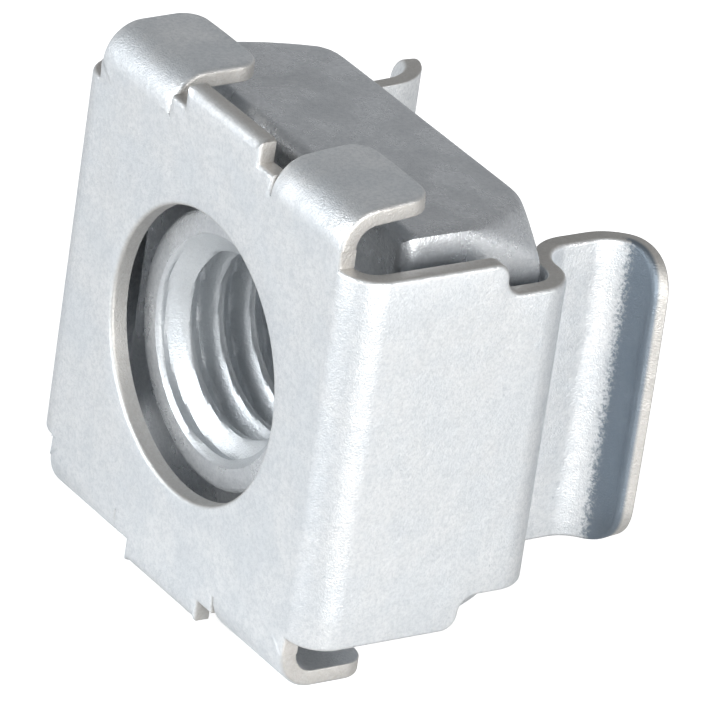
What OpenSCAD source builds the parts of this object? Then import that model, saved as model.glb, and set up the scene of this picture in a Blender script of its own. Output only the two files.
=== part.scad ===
// Rack cage nut: a square nut with a round collar, held loosely in a cage that is folded
// from one spring steel sheet. The cage's two ears snap into a rail's square hole, and the
// screw comes in between them. Y is the thread's axis and points to the rail, Z is up and
// X runs across the cage. The origin is on the thread's axis, halfway along the nut.

/* [Thread] */
// Diameter of the tapped bore inside the thread (the thread's minor diameter)
bore_d = 5; // [4:0.05:5.3]
// Diameter of the countersinks at both ends of the thread
countersink_d = 6.3; // [5.6:0.1:7]

/* [Nut] */
// Width of the square nut across its flats
nut_w = 12; // [11:0.1:13.5]
// Thickness of the nut's square part
nut_t = 4.5; // [3.5:0.1:6]
// Radius of the nut's four long corners
nut_corner_r = 0.6; // [0.3:0.1:1.2]
// Width of the turned chamfer at the nut's corners, from the corner to the flat rail face
nut_chamfer_w = 1.2; // [0.6:0.1:2]
// Depth of the turned chamfer
nut_chamfer_h = 2.9; // [2:0.1:3.2]
// Share of the chamfer's width that its steep part at the rail face takes
nut_chamfer_steep = 0.55; // [0.3:0.05:0.8]
// Share of the chamfer's depth that its steep part at the rail face takes
nut_chamfer_end = 0.32; // [0.2:0.02:0.5]
// Width of the bevel along the nut's four edges on the plate's side
nut_bevel = 0.35; // [0.1:0.05:0.6]
// Diameter of the round collar on the plate's side
collar_d = 7.6; // [7.2:0.1:8.6]
// Height of the collar above the nut's square part
collar_h = 1.15; // [0.6:0.05:1.6]

/* [Room for the loose nut] */
// Gap between the nut and each side wall
side_play = 0.53; // [0.2:0.01:0.8]
// Gap between the nut and the tabs above and below it
tab_play = 0.5; // [0.2:0.05:0.8]
// Gap between the collar and the inner face of the plate
plate_play = 0.37; // [0.1:0.01:0.6]
// Gap between the nut and the shoulders on the rail's side
shoulder_play = 0.1; // [0.05:0.05:0.5]
// Gap between the collar's side and the edge of the plate's hole
collar_play = 0.2; // [0.1:0.05:0.4]

/* [Sheet] */
// Thickness of the spring steel sheet
sheet_t = 0.5; // [0.4:0.05:0.7]
// Inner radius of the bends between the plate and the side walls
wall_bend_r = 0.55; // [0.3:0.05:0.8]
// Inner radius of the bends between the plate and the tabs
tab_bend_r = 0.6; // [0.3:0.05:0.9]

/* [Tabs and lips] */
// Reach of the tabs over the nut, from the outer face of the plate
tab_reach = 2.85; // [2.3:0.05:4]
// Radius of the tabs' free corners
tab_corner_r = 0.8; // [0.3:0.1:0.9]
// Width of the plain lip between two tabs
lip_w = 3.6; // [2.6:0.1:4.4]
// Height of the plain lip beyond the tabs
lip_rise = 0.1; // [0:0.05:0.3]
// Radius of the rolled outer edge of the plain lips
lip_edge_r = 0.4; // [0.2:0.05:0.5]
// Width of the slits that part the lips from the tabs
slit_w = 0.7; // [0.4:0.05:1]
// Depth of the slits below the top of the tabs
slit_depth = 0.55; // [0.3:0.05:1]

/* [Side walls] */
// Height of the side walls next to the plate
wall_h = 10.8; // [10.2:0.1:11.4]
// Distance from the outer face of the plate to the step in the side walls
step_y = 4.75; // [4.2:0.05:5.2]
// Inner radius of the bends between the side walls and the shoulders
shoulder_bend_r = 0.65; // [0.3:0.05:0.8]
// Length of the shoulders' flat part between their two bends
shoulder_flat = 0.05; // [0.05:0.05:2]
// Angle that the left side wall is sprung open
left_open = 4; // [0:0.5:8]

/* [Ears] */
// Height of the ears and of the walls past the step, which goes into the rail's square hole
ear_h = 8.9; // [8.4:0.1:9.4]
// Inner radius of the bends between the shoulders and the ears
neck_bend_r = 0.95; // [0.4:0.05:1.2]
// Length of the ears' flat part, which lies in the rail's hole
ear_flat = 0.85; // [0.4:0.05:2.5]
// Inner radius of the curls that hook over the rail
curl_r = 1.1; // [0.7:0.05:1.4]
// Angle that the curls turn outward
curl_turn = 105; // [91:1:130]
// Radius of the ears' free corners
ear_corner_r = 1.3; // [0.4:0.1:1.6]

/* [Hidden] */
$fn = 96;

// Places along Y, from the outer face of the plate
collar_y = sheet_t + plate_play;
nut_plate_y = collar_y + collar_h;
nut_rail_y = nut_plate_y + nut_t;
shoulder_y = nut_rail_y + shoulder_play;
// The origin lies halfway along the nut
origin_y = (collar_y + nut_rail_y) / 2;

// Half widths and half heights of the cage
wall_x = nut_w / 2 + side_play + sheet_t;
tab_z = nut_w / 2 + tab_play + sheet_t;
lip_z = tab_z + lip_rise;
plate_x = wall_x - wall_bend_r - sheet_t;
plate_z = tab_z - tab_bend_r - sheet_t;
slit_z = tab_z - slit_depth;
tab_x = lip_w / 2 + slit_w;
hole_d = collar_d + 2 * collar_play;

// Centres of the bends of a side wall, in plan
wall_c = [plate_x, wall_bend_r + sheet_t];
shoulder_c = [wall_x - sheet_t - shoulder_bend_r, shoulder_y - shoulder_bend_r];
neck_c = [shoulder_c.x - shoulder_flat, shoulder_y + sheet_t + neck_bend_r];
ear_x = neck_c.x - neck_bend_r;
curl_c = [ear_x + curl_r, neck_c.y + ear_flat];
// The ear's free end is round from here on
ear_split_y = neck_c.y + ear_flat / 2;
ear_end_x = curl_c.x - (curl_r + sheet_t) * cos(curl_turn);
ear_end_y = curl_c.y + curl_r + sheet_t;

// The step in the walls is an S of two quarter circles
step_r = (wall_h - ear_h) / 4;
// The rolled edge of the lips is no thicker than the sheet
lip_r = min(lip_edge_r, 0.9 * sheet_t);
// Countersinks are at 45 degrees
countersink_h = (countersink_d - bore_d) / 2;
// Cutting tools reach past the surfaces that they cut
over = 1;
// A side wall reaches this far into its bend, so that the two join when it is sprung open
seam = 0.01;

// ---------- flat outlines ----------

// A wedge from angle a0 to angle a1, at most 180 degrees wide
module wedge(r, a0, a1) {
    am = (a0 + a1) / 2;
    polygon([[0, 0], r * [cos(a0), sin(a0)], r * [cos((a0 + am) / 2), sin((a0 + am) / 2)],
             r * [cos(am), sin(am)], r * [cos((a1 + am) / 2), sin((a1 + am) / 2)],
             r * [cos(a1), sin(a1)]]);
}

// A bend of the sheet about c, from angle a0 to angle a1
module bend(c, r_in, a0, a1) {
    r_out = r_in + sheet_t;
    translate(c)
        intersection() {
            difference() {
                circle(r = r_out);
                circle(r = r_in);
            }
            wedge(2 * r_out, a0, a1);
        }
}

// A straight run of the sheet between two opposite corners
module run(a, b) {
    translate(a) square(b - a);
}

// A rectangle, centred on the origin, with round corners
module round_plate(w, h, r) {
    square([w - 2 * r, h], center = true);
    square([w, h - 2 * r], center = true);
    for (x = [-1, 1], y = [-1, 1])
        translate([x * (w / 2 - r), y * (h / 2 - r)]) circle(r = r);
}

// ---------- extrusions along the three axes ----------

// Along Z, with height h centred on the origin; the outline is drawn in X and Y
module along_z(h) {
    translate([0, 0, -h / 2]) linear_extrude(h) children();
}

// Along Y, from y0 to y1; the outline is drawn in X and Z
module along_y(y0, y1) {
    translate([0, y1, 0]) rotate([90, 0, 0]) linear_extrude(y1 - y0) children();
}

// Along X, from x0 to x1; the outline is drawn in Y and Z
module along_x(x0, x1) {
    translate([x0, 0, 0]) rotate([90, 0, 90]) linear_extrude(x1 - x0) children();
}

// ---------- cage ----------

// The plate's outline, with the slits beside its two plain lips
module plate_outline() {
    square([2 * plate_x, 2 * plate_z], center = true);
    square([2 * tab_x, 2 * slit_z], center = true);
}

module plate() {
    along_y(0, sheet_t) plate_outline();
    lip();
    mirror([0, 0, 1]) lip();
}

// The plain lip between two tabs, with its rolled outer edge
module lip() {
    along_x(-lip_w / 2, lip_w / 2) {
        run([0, 0], [sheet_t, lip_z - lip_r]);
        run([lip_r, 0], [sheet_t, lip_z]);
        translate([lip_r, lip_z - lip_r]) circle(r = lip_r);
    }
}

// One tab, folded back over the nut from the top edge of the plate
module tab() {
    bend_c = [tab_bend_r + sheet_t, plate_z];
    free_w = plate_x - tab_x;
    intersection() {
        along_x(tab_x, plate_x) {
            run([0, 0], [sheet_t, plate_z]);
            bend(bend_c, tab_bend_r, 90, 180);
            run([bend_c.x, tab_z - sheet_t], [tab_reach, tab_z]);
        }
        along_z(2 * (tab_z + over))
            translate([tab_x + free_w / 2, 0]) round_plate(free_w, 2 * tab_reach, tab_corner_r);
    }
}

// The sheet's path in plan, from the end of the plate's bend to the end of the ear
module side_path() {
    run([wall_x - sheet_t, wall_c.y - seam], [wall_x, shoulder_c.y]);
    bend(shoulder_c, shoulder_bend_r, 0, 90);
    run([neck_c.x, shoulder_y], [shoulder_c.x, shoulder_y + sheet_t]);
    bend(neck_c, neck_bend_r, 180, 270);
    run([ear_x - sheet_t, neck_c.y], [ear_x, curl_c.y]);
    bend(curl_c, curl_r, 180 - curl_turn, 180);
}

// The outline of a side wall seen from the side: tall at the plate and low past the step
module wall_outline() {
    step_z = wall_h / 2 - step_r;
    translate([0, -ear_h / 2]) square([ear_split_y, ear_h]);
    for (s = [0, 1]) mirror([0, s]) {
        square([step_y - step_r, wall_h / 2]);
        square([step_y, step_z]);
        translate([step_y - step_r, step_z]) circle(r = step_r);
        difference() {
            translate([step_y, 0]) square([step_r, ear_h / 2 + step_r]);
            translate([step_y + step_r, ear_h / 2 + step_r]) circle(r = step_r);
        }
    }
}

// One side wall with its shoulder and ear, sprung open by an angle about the plate's bend
module side(open) {
    along_z(wall_h) bend(wall_c, wall_bend_r, 270, 360 - open);
    translate(wall_c) rotate(-open) translate(-wall_c)
        intersection() {
            along_z(wall_h) side_path();
            union() {
                along_x(0, wall_x + over) wall_outline();
                along_y(ear_split_y, ear_end_y + over)
                    round_plate(2 * ear_end_x, ear_h, ear_corner_r);
            }
        }
}

module cage() {
    color([0.78, 0.8, 0.83])
        translate([0, -origin_y, 0])
            difference() {
                union() {
                    plate();
                    for (x = [0, 1], z = [0, 1]) mirror([x, 0, 0]) mirror([0, 0, z]) tab();
                    side(0);
                    mirror([1, 0, 0]) side(left_open);
                }
                along_y(-over, sheet_t + over) circle(d = hole_d);
            }
}

// ---------- nut ----------

// Half of the nut's turned section: radius in x, place along the thread in y
module turned_section() {
    corner_r = nut_w / sqrt(2);
    polygon([[0, collar_y], [collar_d / 2, collar_y], [collar_d / 2, nut_plate_y],
             [corner_r, nut_plate_y], [corner_r, nut_rail_y - nut_chamfer_h],
             [corner_r - nut_chamfer_w * (1 - nut_chamfer_steep),
              nut_rail_y - nut_chamfer_h * nut_chamfer_end],
             [corner_r - nut_chamfer_w, nut_rail_y], [0, nut_rail_y]]);
}

// Half of the bore's section, with a countersink at each end
module bore_section() {
    polygon([[0, collar_y - over], [countersink_d / 2 + over, collar_y - over],
             [bore_d / 2, collar_y + countersink_h], [bore_d / 2, nut_rail_y - countersink_h],
             [countersink_d / 2 + over, nut_rail_y + over], [0, nut_rail_y + over]]);
}

// Turns a section about the thread's axis
module turned() {
    rotate([-90, 0, 0]) rotate_extrude() children();
}

module square_nut() {
    bevel_side = nut_bevel * sqrt(2);
    color([0.62, 0.64, 0.67])
        translate([0, -origin_y, 0])
            difference() {
                intersection() {
                    turned() turned_section();
                    along_y(0, nut_rail_y + over) round_plate(nut_w, nut_w, nut_corner_r);
                }
                turned() bore_section();
                for (a = [0 : 90 : 270])
                    rotate([0, a, 0]) translate([0, nut_plate_y, nut_w / 2]) rotate([45, 0, 0])
                        cube([2 * nut_w, bevel_side, bevel_side], center = true);
            }
}

cage();
square_nut();
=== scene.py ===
"""Rack cage nut: a sprung sheet steel cage round a loose square nut, on a pale studio floor."""
import math

import bmesh
import bpy
import numpy as np
from mathutils import Matrix, Vector


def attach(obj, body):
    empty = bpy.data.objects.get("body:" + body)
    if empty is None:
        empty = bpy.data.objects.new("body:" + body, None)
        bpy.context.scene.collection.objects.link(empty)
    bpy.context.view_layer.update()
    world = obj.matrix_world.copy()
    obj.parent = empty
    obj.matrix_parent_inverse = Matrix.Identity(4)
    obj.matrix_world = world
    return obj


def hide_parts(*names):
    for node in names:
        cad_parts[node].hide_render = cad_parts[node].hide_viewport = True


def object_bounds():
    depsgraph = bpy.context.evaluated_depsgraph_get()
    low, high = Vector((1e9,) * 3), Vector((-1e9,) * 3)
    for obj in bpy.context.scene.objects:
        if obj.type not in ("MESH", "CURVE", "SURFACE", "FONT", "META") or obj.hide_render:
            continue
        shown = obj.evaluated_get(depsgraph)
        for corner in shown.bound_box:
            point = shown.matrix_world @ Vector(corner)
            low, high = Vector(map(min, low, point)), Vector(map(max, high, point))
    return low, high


bl_info = {
    "name": "Rack cage nut",
    "version": (1, 0, 0),
    "blender": (4, 5, 0),
    "location": "View3D > Sidebar > Cage nut",
    "description": "Builds the looks of a rack cage nut round its fixed frame",
    "category": "Object",
}

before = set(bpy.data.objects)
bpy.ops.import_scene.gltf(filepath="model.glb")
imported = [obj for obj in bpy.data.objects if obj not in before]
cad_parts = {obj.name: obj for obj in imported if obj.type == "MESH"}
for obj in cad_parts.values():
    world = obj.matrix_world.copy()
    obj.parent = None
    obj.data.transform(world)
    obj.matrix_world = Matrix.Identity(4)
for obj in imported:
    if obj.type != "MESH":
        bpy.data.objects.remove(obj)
CAD_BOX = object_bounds()

MM = 0.001
# Distance from the outer face of the plate to the origin, and the sheet's thickness, in mm
ORIGIN_Y = 3.695
SHEET = 0.5

# The cage's sizes in mm: half widths and half heights of the plate, its lips and its slits
PLATE_X, PLATE_Z = 5.98, 5.9
LIP_X, LIP_Z = 1.8, 7.1
TAB_X, SLIT_Z = 2.5, 6.45
HOLE_R = 4.0
# Radii of the bends at the middle of the sheet, and lengths of the flat runs between them
TAB_BEND, TAB_FLAT = 0.85, 1.75
WALL_BEND, WALL_FLAT = 0.8, 4.92
SHOULDER_BEND, SHOULDER_FLAT = 0.9, 0.05
NECK_BEND, EAR_FLAT = 1.2, 0.85
CURL_BEND, CURL_TURN = 1.35, 105
# Half heights of a side wall before and after its step, and the step's place and radius
WALL_Z, EAR_Z = 5.4, 4.45
STEP_AT, STEP_R = 3.7, 0.475
# Centre of the right ear's curl, in plan from the plate's outer face
CURL_X, CURL_Y = 5.98, 8.92
# A strip starts this far inside the plate, so that its shading runs on from the plate's
SEAM = 0.01

# The nut's sizes in mm: places along the thread, and radii
COLLAR_Y, NUT_PLATE_Y, NUT_RAIL_Y = 0.87, 2.02, 6.52
NUT_HALF, COLLAR_R, COLLAR_EDGE = 6, 3.8, 0.12
BORE_R, THREAD_DEPTH, SINK_R = 2.5, 0.55, 3.15
RAIL_EDGE = 0.16
# How sharply the square and the turned chamfer meet; higher is sharper
MEETING = 80


# ---------- surfaces ----------

def fold(s, n, runs, start):
    """Place of a point of the folded sheet: along the path of straight runs and arcs that
    starts at start, s along the middle of the sheet and n to its left. Each run is
    (length, turn): it turns evenly by turn over its length."""
    a = np.zeros_like(s)
    b = np.zeros_like(s)
    at, pa, pb, heading = 0.0, start[0], start[1], 0.0
    for i, (length, turn) in enumerate(runs):
        low = -np.inf if i == 0 else at
        high = np.inf if i == len(runs) - 1 else at + length
        here = (s >= low) & (s < high)
        k = turn / length
        u = s[here] - at
        if k:
            h = heading + k * u
            a[here] = pa + (np.sin(h) - math.sin(heading)) / k - n[here] * np.sin(h)
            b[here] = pb - (np.cos(h) - math.cos(heading)) / k + n[here] * np.cos(h)
            end = heading + turn
            pa += (math.sin(end) - math.sin(heading)) / k
            pb -= (math.cos(end) - math.cos(heading)) / k
        else:
            end = heading
            a[here] = pa + u * math.cos(heading) - n[here] * math.sin(heading)
            b[here] = pb + u * math.sin(heading) + n[here] * math.cos(heading)
            pa += length * math.cos(heading)
            pb += length * math.sin(heading)
        heading = end
        at += length
    return a, b


def arc(cs, cw, r, a0, a1, count, side=1):
    """Points and outward normals of an arc of the flat outline, from angle a0 to a1."""
    t = np.radians(np.linspace(a0, a1, count))
    d = np.stack([np.cos(t), np.sin(t)], 1)
    return np.hstack([np.array([cs, cw]) + r * d, side * d])


def edge_line(s, w):
    """Points of a straight edge of the flat outline, with normals to its side."""
    s = np.asarray(s, float)
    return np.stack([s, np.full_like(s, w), s * 0, s * 0 + 1], 1)


def end_edge(s, w, bulge, count):
    """The free end of the sheet, from half width w to the middle, with a slight bulge."""
    q = np.linspace(1, 0, count)[1:]
    return np.stack([s + bulge * (1 - q * q), w * q, q * 0 + 1, q * 0], 1)


def rolled(edge):
    """Profile of the sheet's sheared edge: inset and height through the sheet, from its outer
    face to its inner one, a quarter round at each side of the sheared land."""
    t = np.linspace(0, math.pi / 2, 6)
    e2 = 0.05
    out = np.stack([edge * (1 - np.sin(t)), -SHEET / 2 + edge * (1 - np.cos(t))], 1)
    back = np.stack([e2 * (1 - np.cos(t)), SHEET / 2 - e2 * (1 - np.sin(t))], 1)
    return np.vstack([out, back]), np.r_[0, .1, .3, .6, 1, 1, 1, 1, .8, .4, .1, 0]


def strip(outline, runs, start, edge, columns=8):
    """A folded sheet strip as a grid: lines across the flat outline, each a closed loop of
    outer face, rolled edge, inner face and rolled edge, bent along the path of runs."""
    prof, shear = rolled(edge)
    s, w, ns, nw = outline.T
    q = np.linspace(-1, 1, columns)[1:-1]
    top = [(s - inset * ns, w - inset * nw, height, mark)
           for (inset, height), mark in zip(prof, shear)]
    inner, outer = top[-1], top[0]
    ring = list(top)
    ring += [(inner[0], inner[1] * -t, inner[2], 0) for t in q]
    ring += [(along, -across, height, mark) for along, across, height, mark in top[::-1]]
    ring += [(outer[0], outer[1] * t, outer[2], 0) for t in q]
    ss = np.stack([r[0] for r in ring], 1)
    ww = np.stack([r[1] for r in ring], 1)
    nn = np.repeat(np.array([[r[2] for r in ring]]), len(s), 0)
    mark = np.repeat(np.array([[r[3] for r in ring]], float), len(s), 0)
    a, b = fold(ss, nn, runs, start)
    return a, b, ww, mark


def faces_of_grid(rows, cols, first, cap):
    """Quads of a grid whose columns close on themselves, with an end face where cap is set."""
    i, j = np.meshgrid(np.arange(rows - 1), np.arange(cols), indexing="ij")
    k = (j + 1) % cols
    quads = np.stack([i * cols + j, i * cols + k, (i + 1) * cols + k, (i + 1) * cols + j], -1)
    faces = (quads.reshape(-1, 4) + first).tolist()
    if cap:
        faces.append((np.arange(cols)[::-1] + first).tolist())
    return faces


def make_piece(name, parts, material, node, sharp=38):
    """One object from several closed grids, each (x, y, z, shear, cap) in mm with y from the
    plate's outer face. Doubled points are merged and the faces turned outward."""
    points, faces, shear = [], [], []
    first = 0
    for x, y, z, mark, cap in parts:
        rows, cols = x.shape
        points.append(np.stack([x, y - ORIGIN_Y, z], -1).reshape(-1, 3) * MM)
        shear.append(mark.reshape(-1))
        faces += faces_of_grid(rows, cols, first, cap)
        first += rows * cols
    mesh = bpy.data.meshes.new(name)
    mesh.from_pydata(np.vstack(points).tolist(), [], faces)
    layer = mesh.attributes.new("shear", "FLOAT", "POINT")
    layer.data.foreach_set("value", np.concatenate(shear).astype(np.float32))
    bm = bmesh.new()
    bm.from_mesh(mesh)
    bmesh.ops.remove_doubles(bm, verts=bm.verts, dist=2e-7)
    bmesh.ops.recalc_face_normals(bm, faces=bm.faces)
    bm.to_mesh(mesh)
    bm.free()
    mesh.shade_smooth()
    mesh.set_sharp_from_angle(angle=math.radians(sharp))
    mesh.materials.append(material)
    obj = bpy.data.objects.new(name, mesh)
    bpy.context.scene.collection.objects.link(obj)
    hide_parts(node)
    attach(obj, "root")
    return obj


# ---------- cage ----------

def plate_part(p):
    """The flat plate as a ring: rays from its round hole to an outline that steps out at the
    plain lips, with the edge rolled in front where it is free and square where a bend joins."""
    px, pz = PLATE_X, PLATE_Z
    corners = [(px, 0, 0), (px, WALL_Z - .01, 0), (px, WALL_Z + .01, p.edge),
               (px, pz, p.edge * .5), (px - .02, pz, 0), (TAB_X + .02, pz, 0),
               (TAB_X, pz, p.edge), (TAB_X, SLIT_Z, p.edge), (LIP_X, SLIT_Z, p.edge),
               (LIP_X, LIP_Z - .05, p.edge), (LIP_X - .08, LIP_Z, p.lip_edge),
               (0, LIP_Z, p.lip_edge)]
    pts = []
    for (x0, z0, e0), (x1, z1, e1) in zip(corners[:-1], corners[1:]):
        turn = abs(math.atan2(z1, x1) - math.atan2(z0, x0))
        q = np.linspace(0, 1, max(2, int(turn / math.radians(1.2)) + 2))[:-1]
        pts.append(np.stack([x0 + q * (x1 - x0), z0 + q * (z1 - z0), e0 + q * (e1 - e0)], 1))
    quarter = np.vstack(pts + [np.array([corners[-1]], float)])
    half = np.vstack([quarter, (quarter * [-1, 1, 1])[::-1][1:]])
    full = np.vstack([half, (half * [1, -1, 1])[::-1][1:-1]])
    x, z, e = full.T
    r = np.hypot(x, z)
    dx, dz = x / r, z / r
    free = (e > 0.06).astype(float)
    t = np.linspace(0, math.pi / 2, 6)
    grid = [(HOLE_R + p.edge * (1 - math.cos(a)) + x * 0, p.edge * (1 - math.sin(a)) + x * 0,
             1 - math.sin(a) ** 3) for a in t]
    flat_in = HOLE_R + p.edge
    flat_out = r - e
    for q in np.linspace(0, 1, 7)[1:-1]:
        grid.append((flat_in + q * (flat_out - flat_in), x * 0, 0))
    for a in t:
        grid.append((r - e * (1 - math.sin(a)), e * (1 - math.cos(a)),
                     math.sin(a) ** 3 * free))
    grid.append((r, x * 0 + SHEET, free))
    grid.append((HOLE_R + x * 0, x * 0 + SHEET, 1))
    grid.append((HOLE_R + x * 0, x * 0 + p.edge, 1))
    rr = np.stack([g[0] for g in grid])
    yy = np.stack([g[1] for g in grid])
    mark = np.stack([g[2] + x * 0 for g in grid])
    return rr * dx, yy, rr * dz, mark, False


def tab_part(p, side, up, turn):
    """One tab: a short strip folded back over the nut from an edge of the plate."""
    bend = TAB_BEND * math.radians(turn)
    end = bend + TAB_FLAT
    half, r = (PLATE_X - TAB_X) / 2, p.tab_corner
    s0 = np.r_[-SEAM, np.linspace(0, bend, 22), bend + .4]
    outline = np.vstack([edge_line(s0, half), arc(end - r, half - r, r, 90, 4, 12),
                         end_edge(end, half - r, 0.02, 6)])
    runs = [(bend, math.radians(turn)), (TAB_FLAT, 0.0)]
    a, b, w, mark = strip(outline, runs, (PLATE_Z, SHEET / 2), p.edge)
    return side * (TAB_X + half + w), b, up * a, mark, True


def side_part(p, side, open_by, ear_corner, shorter):
    """One side wall with its shoulder, neck, ear and curl, bent about the plate's edge. Its
    height drops by an S of two quarter circles where it passes into the rail's hole."""
    first = WALL_BEND * math.radians(90 - open_by)
    quarter, curl = math.pi / 2, math.radians(CURL_TURN)
    runs = [(first, math.radians(90 - open_by)), (WALL_FLAT, 0.0),
            (SHOULDER_BEND * quarter, quarter), (SHOULDER_FLAT, 0.0),
            (NECK_BEND * quarter, -quarter), (EAR_FLAT, 0.0), (CURL_BEND * curl, -curl)]
    ends = np.cumsum([0] + [r[0] for r in runs])
    total = ends[-1] - shorter
    step, r, high, low = first + STEP_AT, STEP_R, WALL_Z, EAR_Z
    late = np.r_[np.linspace(ends[2], ends[3], 22), np.linspace(ends[4], ends[5], 22),
                 np.linspace(ends[6], total - ear_corner, 20)[:-1]]
    outline = np.vstack([
        edge_line(np.r_[-SEAM, np.linspace(0, first, 22), first + 1.2, first + 2.4], high),
        arc(step - r, high - r, r, 90, 0, 12),
        arc(step + r, low + r, r, 180, 270, 12, -1)[1:],
        edge_line(late, low),
        arc(total - ear_corner, low - ear_corner, ear_corner, 90, 3, 18),
        end_edge(total, low - ear_corner, 0.03, 10)])
    a, b, w, mark = strip(outline, runs, (PLATE_X, SHEET / 2), p.edge, 10)
    return side * a, b, w, mark, True


# ---------- nut ----------

def nut_part(p):
    """The nut as one closed grid of profile by angle: tapped bore, collar, plate side, the
    square's sides met by a turned chamfer that deepens toward the rail, and the rail face."""
    phi = np.linspace(0, 2 * math.pi, p.around, endpoint=False)
    th = phi + 0.7 * np.sin(4 * phi) / 4
    cos, sin = np.cos(th), np.sin(th)
    flat = 1 / np.maximum(abs(cos), abs(sin))
    y0, y2, y6 = COLLAR_Y, NUT_PLATE_Y, NUT_RAIL_Y

    def side(y):
        d = np.clip(p.round - (y - y2), 0, p.round)
        back = np.clip(y - (y6 - RAIL_EDGE), 0, RAIL_EDGE)
        width = NUT_HALF - p.round + math.sqrt(p.round ** 2 - d ** 2)
        width -= RAIL_EDGE - math.sqrt(RAIL_EDGE ** 2 - back ** 2)
        turned = 8.46 - 0.13 * max(0, y - 3.4) ** 1.6 - 0.27 * max(0, (y - 6.15) / .37) ** 2
        turned -= 0.5 * d ** 2
        square = width * flat
        return (square ** -MEETING + turned ** -MEETING) ** (-1 / MEETING)

    rows = []
    for a in np.linspace(0, math.pi / 2, 6):
        rows.append((COLLAR_R - COLLAR_EDGE * (1 - math.sin(a)) + cos * 0,
                     y0 + COLLAR_EDGE * (1 - math.cos(a))))
    rows.append((COLLAR_R + cos * 0, y2 - .08))
    rows.append((3.86 + cos * 0, y2))
    inner = side(y2)
    rows += [(3.86 + q * (inner - 3.86), y2) for q in (.35, .7)]
    ys = np.r_[y2 + p.round * (1 - np.cos(np.linspace(0, math.pi / 2, 9))),
               np.linspace(y2 + p.round, y6 - .4, 24)[1:],
               y6 - 0.4 * (1 - np.sin(np.linspace(0, math.pi / 2, 10)))[1:]]
    rows += [(side(min(y, y6)), y) for y in ys]
    last = side(y6)
    rows += [(3.2 + q * (last - 3.2), y6) for q in (.66, .33, .03)]
    depth = np.linspace(y6, y0, p.bore_rows)
    for y in depth:
        turn = (y - th / (2 * math.pi)) % 1.0
        wave = 1 - abs(2 * turn - 1)
        q = np.clip((wave - 0.12) / 0.7, 0, 1)
        thread = BORE_R + THREAD_DEPTH * q * q * (3 - 2 * q)
        sink = SINK_R - min(y - y0, y6 - y)
        rows.append((np.maximum(thread, sink), y))
    rows.append((3.22 + cos * 0, y0))
    r = np.stack([row[0] for row in rows])
    y = np.stack([row[1] + cos * 0 for row in rows])
    mark = ((r < 3.9) & (y > y0 + .01)).astype(float)
    ring = np.vstack([r, r[:1]])
    deep = np.vstack([y, y[:1]])
    return ring * cos, deep, ring * sin, np.vstack([mark, mark[:1]]), False


# ---------- materials ----------

class Sock:
    """A node socket that can be added, multiplied and so on, as in plain shader maths."""

    def __init__(self, tree, socket):
        self.tree, self.socket = tree, socket

    def _math(self, op, a, b):
        node = self.tree.nodes.new("ShaderNodeMath")
        node.operation = op
        for i, v in enumerate((a, b)):
            if isinstance(v, Sock):
                self.tree.links.new(v.socket, node.inputs[i])
            else:
                node.inputs[i].default_value = v
        return Sock(self.tree, node.outputs[0])

    def __add__(self, other):
        return self._math("ADD", self, other)

    def __radd__(self, other):
        return self._math("ADD", other, self)

    def __sub__(self, other):
        return self._math("SUBTRACT", self, other)

    def __rsub__(self, other):
        return self._math("SUBTRACT", other, self)

    def __mul__(self, other):
        return self._math("MULTIPLY", self, other)

    def __rmul__(self, other):
        return self._math("MULTIPLY", other, self)

    def clamp(self, low, high):
        """0 below low, 1 above high and a smooth ramp between."""
        node = self.tree.nodes.new("ShaderNodeMapRange")
        node.interpolation_type = "SMOOTHSTEP"
        self.tree.links.new(self.socket, node.inputs[0])
        node.inputs[1].default_value = low
        node.inputs[2].default_value = high
        return Sock(self.tree, node.outputs[0])


class Finish:
    """A node material built up from named nodes."""

    def __init__(self, name):
        self.material = bpy.data.materials.new(name)
        self.material.use_nodes = True
        self.tree = self.material.node_tree
        self.shader = self.tree.nodes["Principled BSDF"]
        self.place = self.node("ShaderNodeTexCoord", out="Object")

    def node(self, kind, out=0, settings=(), **values):
        """A node of a kind, with its settings and its inputs by name, as a socket."""
        node = self.tree.nodes.new(kind)
        for key, value in dict(settings).items():
            setattr(node, key, value)
        for key, value in values.items():
            self.feed(node.inputs[key.replace("_", " ")], value)
        return Sock(self.tree, node.outputs[out])

    def feed(self, socket, value):
        """Links a socket to a value, or sets its constant."""
        if isinstance(value, Sock):
            self.tree.links.new(value.socket, socket)
        else:
            socket.default_value = value

    def noise(self, size, detail=3.0, rough=0.6):
        """Noise of about 0 to 1 whose features are size mm across."""
        return self.node("ShaderNodeTexNoise", Vector=self.place, Scale=1 / (size * MM),
                         Detail=detail, Roughness=rough)

    def mix(self, factor, a, b):
        """Colour a where factor is 0 and b where it is 1."""
        node = self.tree.nodes.new("ShaderNodeMix")
        node.data_type = "RGBA"
        self.feed(node.inputs[0], factor)
        self.feed(node.inputs[6], a)
        self.feed(node.inputs[7], b)
        return Sock(self.tree, node.outputs[2])


def painted_curl_reflection(m, grit):
    """A painted reflection: a soft, speckled dark slate-blue band on the right ear's curl,
    where it is hollow and turns from the light.
    """
    x = m.node("ShaderNodeSeparateXYZ", out=0, Vector=m.place) * (1 / MM)
    y = m.node("ShaderNodeSeparateXYZ", out=1, Vector=m.place) * (1 / MM) + ORIGIN_Y
    across, along = x - CURL_X, y - CURL_Y
    near = 1 - (across * across + along * along).clamp(1.5, 1.9)
    deep = (y + grit * 0.12).clamp(9.72, 9.92)
    return near * deep * x.clamp(4, 4.5) * 0.9


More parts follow.
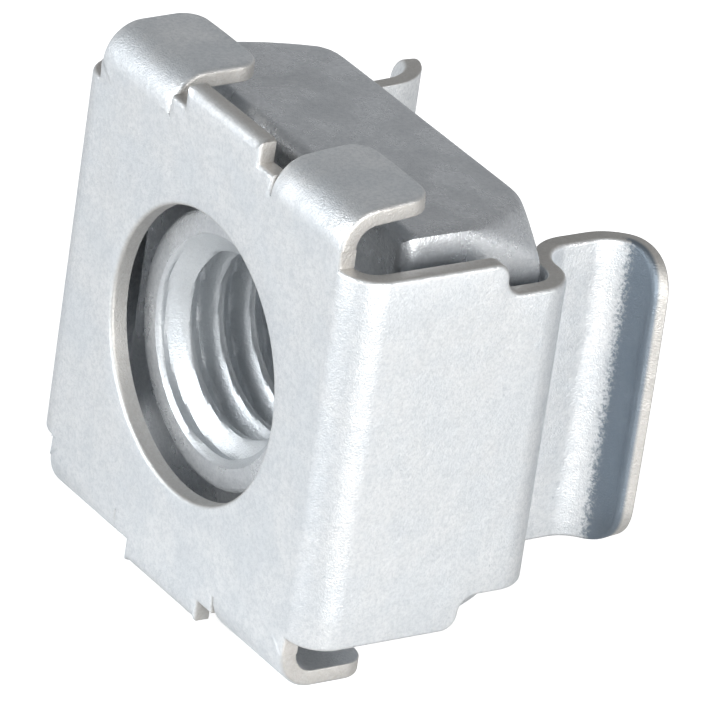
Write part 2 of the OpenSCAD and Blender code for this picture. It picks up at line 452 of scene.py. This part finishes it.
def plated_steel(name, light, dark, speck, sheared, rough, grain, curl=False):
    """Bright zinc on steel: pale mottling, fine blue-grey specks, a fine pebbled grain, and
    rougher, streaked sheared edges in their own colour, which on the cage is a warm brown
    painted reflection. With curl set, a painted dark reflection band on the right ear's curl."""
    m = Finish(name)
    cloud = m.noise(1.6, 4.0, 0.62).clamp(0.36, 0.66)
    fleck = m.noise(0.16, 3.0, 0.7).clamp(0.62, 0.74) * m.noise(2.6, 2.0).clamp(0.42, 0.62)
    smudge = m.noise(0.9, 5.0, 0.7).clamp(0.6, 0.72)
    base = m.mix(cloud, dark, light)
    base = m.mix(fleck * 0.55, base, speck)
    base = m.mix(smudge * 0.22, base, speck)
    cut = m.node("ShaderNodeAttribute", out="Fac", settings={"attribute_name": "shear"})
    streak = m.noise(0.07, 3.0, 0.7)
    grit = m.noise(0.11, 4.0, 0.75).clamp(0.38, 0.66)
    base = m.mix(grit * 0.3, base, speck)
    # Sheared edges: their extra roughness and streaks are real, while the cage's warm brown
    # there is a painted reflection
    base = m.mix(cut * (0.35 + 0.5 * streak), base, sheared)
    # Painted reflection: a dark slate-blue band on the right ear's curl
    if curl:
        base = m.mix(painted_curl_reflection(m, grit), base, (0.16, 0.205, 0.255, 1))
    m.feed(m.shader.inputs["Base Color"], base)
    m.feed(m.shader.inputs["Metallic"], 0.82)
    m.feed(m.shader.inputs["Roughness"],
           rough + 0.1 * (1 - cloud) + 0.12 * smudge + 0.08 * cut)
    fine = m.noise(0.05, 2.0, 0.6)
    wide = m.noise(0.7, 2.0, 0.5)
    height = fine * grain + wide * (grain * 1.4) + cut * streak * grain
    bump = m.node("ShaderNodeBump", Strength=0.35, Distance=0.03 * MM, Height=height)
    m.feed(m.shader.inputs["Normal"], bump)
    return m.material


def pale_floor(name):
    """A plain white floor: seen as pure white, but keeping the object's shadow."""
    m = Finish(name)
    m.feed(m.shader.inputs["Base Color"], (0.9, 0.9, 0.9, 1))
    m.feed(m.shader.inputs["Roughness"], 0.9)
    path = m.tree.nodes.new("ShaderNodeLightPath")
    seen = Sock(m.tree, path.outputs["Is Camera Ray"])
    glow = m.mix(seen, (0, 0, 0, 1), (0.72, 0.72, 0.72, 1))
    m.feed(m.shader.inputs["Emission Color"], glow)
    m.feed(m.shader.inputs["Emission Strength"], 1.0)
    return m.material


# ---------- stage ----------

def lamp(name, place, size, watts, colour):
    """A soft square lamp that looks at the object."""
    data = bpy.data.lights.new(name, "AREA")
    data.size = size
    data.energy = watts
    data.color = colour
    obj = bpy.data.objects.new(name, data)
    obj.location = place
    obj.rotation_euler = (-Vector(place)).to_track_quat("-Z", "Y").to_euler()
    bpy.context.scene.collection.objects.link(obj)
    return obj


def place_camera(p):
    """A long lens at the viewing angle, with its slight roll."""
    data = bpy.data.cameras.new("camera")
    data.lens = p.lens
    data.clip_start, data.clip_end = 0.02, 5
    obj = bpy.data.objects.new("camera", data)
    bpy.context.scene.collection.objects.link(obj)
    look = Vector((-0.7252, 0.5303, -0.4392)).normalized()
    up = Vector((-0.4377, 0.1373, 0.8886))
    right = look.cross(up).normalized()
    up = right.cross(look)
    turn = Matrix((right, up, -look)).transposed().to_4x4()
    obj.matrix_world = Matrix.Translation(Vector((0.17418, -0.125575, 0.10451))) @ turn
    bpy.context.scene.camera = obj


def studio_world(strength):
    """A pale world: white to the camera, and as light of a strength that drops overhead."""
    world = bpy.data.worlds.new("studio")
    world.use_nodes = True
    bpy.context.scene.world = world
    tree = world.node_tree
    back = tree.nodes["Background"]
    path = tree.nodes.new("ShaderNodeLightPath")
    seen = Sock(tree, path.outputs["Is Camera Ray"])
    place = tree.nodes.new("ShaderNodeTexCoord")
    split = tree.nodes.new("ShaderNodeSeparateXYZ")
    tree.links.new(place.outputs["Generated"], split.inputs[0])
    height = Sock(tree, split.outputs[2]).clamp(0.1, 0.75)
    lit = strength * (1 - 0.62 * height)
    level = lit + seen * (1 - lit)
    back.inputs[0].default_value = (0.97, 0.985, 1, 1)
    tree.links.new(level.socket, back.inputs[1])


# ---------- settings and operators ----------

class CageSettings(bpy.types.PropertyGroup):
    edge: bpy.props.FloatProperty(name="Edge roll", default=0.13, min=0.02, max=0.2,
                                  description="Radius of the sheared edges' outer side, mm")
    lip_edge: bpy.props.FloatProperty(name="Lip roll", default=0.36, min=0.1, max=0.45,
                                      description="Radius of the plain lips' top edge, mm")
    tab_corner: bpy.props.FloatProperty(name="Tab corner", default=0.7, min=0.2, max=1.0,
                                        description="Radius of the tabs' free corners, mm")
    left_open: bpy.props.FloatProperty(name="Left wall open", default=math.radians(4),
                                       min=0, max=math.radians(8), subtype="ANGLE",
                                       description="Angle that the left wall is sprung")
    light: bpy.props.FloatVectorProperty(name="Pale zinc", size=4, subtype="COLOR",
                                         default=(0.86, 0.875, 0.89, 1), min=0, max=1,
                                         description="The sheet's paler colour")
    dark: bpy.props.FloatVectorProperty(name="Grey zinc", size=4, subtype="COLOR",
                                        default=(0.74, 0.765, 0.79, 1), min=0, max=1,
                                        description="The sheet's darker colour")


class NutSettings(bpy.types.PropertyGroup):
    round: bpy.props.FloatProperty(name="Edge round", default=0.42, min=0.1, max=0.6,
                                   description="Rounding of the plate side's edges, mm")
    around: bpy.props.IntProperty(name="Steps round", default=360, min=96, max=480,
                                  description="Points round the nut")
    light: bpy.props.FloatVectorProperty(name="Pale zinc", size=4, subtype="COLOR",
                                         default=(0.72, 0.74, 0.765, 1), min=0, max=1,
                                         description="The nut's paler colour")
    dark: bpy.props.FloatVectorProperty(name="Grey zinc", size=4, subtype="COLOR",
                                        default=(0.62, 0.64, 0.665, 1), min=0, max=1,
                                        description="The nut's darker colour")
    bore_rows: bpy.props.IntProperty(name="Bore rows", default=92, min=40, max=160,
                                     description="Points along the thread")


class StageSettings(bpy.types.PropertyGroup):
    lens: bpy.props.FloatProperty(name="Lens", default=450.0, min=50, max=900, unit="CAMERA",
                                  description="Focal length, mm")
    world: bpy.props.FloatProperty(name="World", default=0.56, min=0, max=2,
                                   description="Strength of the surrounding light")
    key: bpy.props.FloatProperty(name="Key lamp", default=1.3, min=0, max=10, unit="POWER",
                                 description="Power of the lamp on the right, watts")
    front: bpy.props.FloatProperty(name="Front lamp", default=0.95, min=0, max=10, unit="POWER",
                                   description="Power of the lamp in front, watts")


class OBJECT_OT_build_cage(bpy.types.Operator):
    """Builds the folded sheet steel cage"""
    bl_idname = "object.build_cage"
    bl_label = "Build the cage"

    def execute(self, context):
        p = context.scene.cage_settings
        # The warm brown given for the sheared edges is a painted reflection, and True adds the
        # painted dark reflection band on the ear's curl
        steel = plated_steel("zinc_plated_sheet", tuple(p.light), tuple(p.dark),
                             (0.42, 0.46, 0.5, 1),
                             (0.46, 0.42, 0.37, 1), 0.34, 1.6, True)
        parts = [plate_part(p)]
        parts += [tab_part(p, 1, 1, 85), tab_part(p, -1, 1, 89),
                  tab_part(p, 1, -1, 90), tab_part(p, -1, -1, 90)]
        parts += [side_part(p, 1, 0, 1.4, 0),
                  side_part(p, -1, math.degrees(p.left_open), 0.8, 0.15)]
        make_piece("cage_sheet", parts, steel, "cage")
        return {"FINISHED"}


class OBJECT_OT_build_nut(bpy.types.Operator):
    """Builds the square nut with its collar and thread"""
    bl_idname = "object.build_nut"
    bl_label = "Build the nut"

    def execute(self, context):
        p = context.scene.nut_settings
        steel = plated_steel("zinc_plated_nut", tuple(p.light), tuple(p.dark),
                             (0.36, 0.39, 0.43, 1), (0.72, 0.75, 0.77, 1), 0.24, 1.6)
        parts = [nut_part(p)]
        make_piece("threaded_nut", parts, steel, "square_nut", 34)
        return {"FINISHED"}


class OBJECT_OT_build_stage(bpy.types.Operator):
    """Adds the floor, the lamps, the world and the camera"""
    bl_idname = "object.build_stage"
    bl_label = "Build the stage"

    def execute(self, context):
        p = context.scene.stage_settings
        low = CAD_BOX[0]
        bpy.ops.mesh.primitive_plane_add(size=2.0, location=(0, 0, low[2] - 0.0005))
        floor = context.object
        floor.name = "floor"
        floor.data.materials.append(pale_floor("pale_floor"))
        lamp("key_lamp", (0.3, -0.02, 0.05), 0.22, p.key, (1, 0.99, 0.97))
        lamp("front_lamp", (-0.05, -0.3, 0.1), 0.25, p.front, (0.95, 0.98, 1))
        studio_world(p.world)
        place_camera(p)
        scene = context.scene
        scene.view_settings.view_transform = "Standard"
        return {"FINISHED"}


class VIEW3D_PT_cage_nut(bpy.types.Panel):
    """The cage nut's settings and steps"""
    bl_label = "Cage nut"
    bl_idname = "VIEW3D_PT_cage_nut"
    bl_space_type = "VIEW_3D"
    bl_region_type = "UI"
    bl_category = "Cage nut"

    def draw(self, context):
        for key, step in STEPS:
            settings = getattr(context.scene, key)
            for name in settings.__annotations__:
                self.layout.prop(settings, name)
            self.layout.operator(step)


STEPS = (("cage_settings", "object.build_cage"), ("nut_settings", "object.build_nut"),
         ("stage_settings", "object.build_stage"))
CLASSES = (CageSettings, NutSettings, StageSettings, OBJECT_OT_build_cage,
           OBJECT_OT_build_nut, OBJECT_OT_build_stage, VIEW3D_PT_cage_nut)


def register():
    for cls in CLASSES:
        bpy.utils.register_class(cls)
    scene = bpy.types.Scene
    scene.cage_settings = bpy.props.PointerProperty(type=CageSettings)
    scene.nut_settings = bpy.props.PointerProperty(type=NutSettings)
    scene.stage_settings = bpy.props.PointerProperty(type=StageSettings)


def unregister():
    for key, _ in STEPS:
        delattr(bpy.types.Scene, key)
    for cls in reversed(CLASSES):
        bpy.utils.unregister_class(cls)


def main():
    register()
    bpy.ops.object.build_cage()
    bpy.ops.object.build_nut()
    bpy.ops.object.build_stage()


if __name__ == "__main__":
    main()
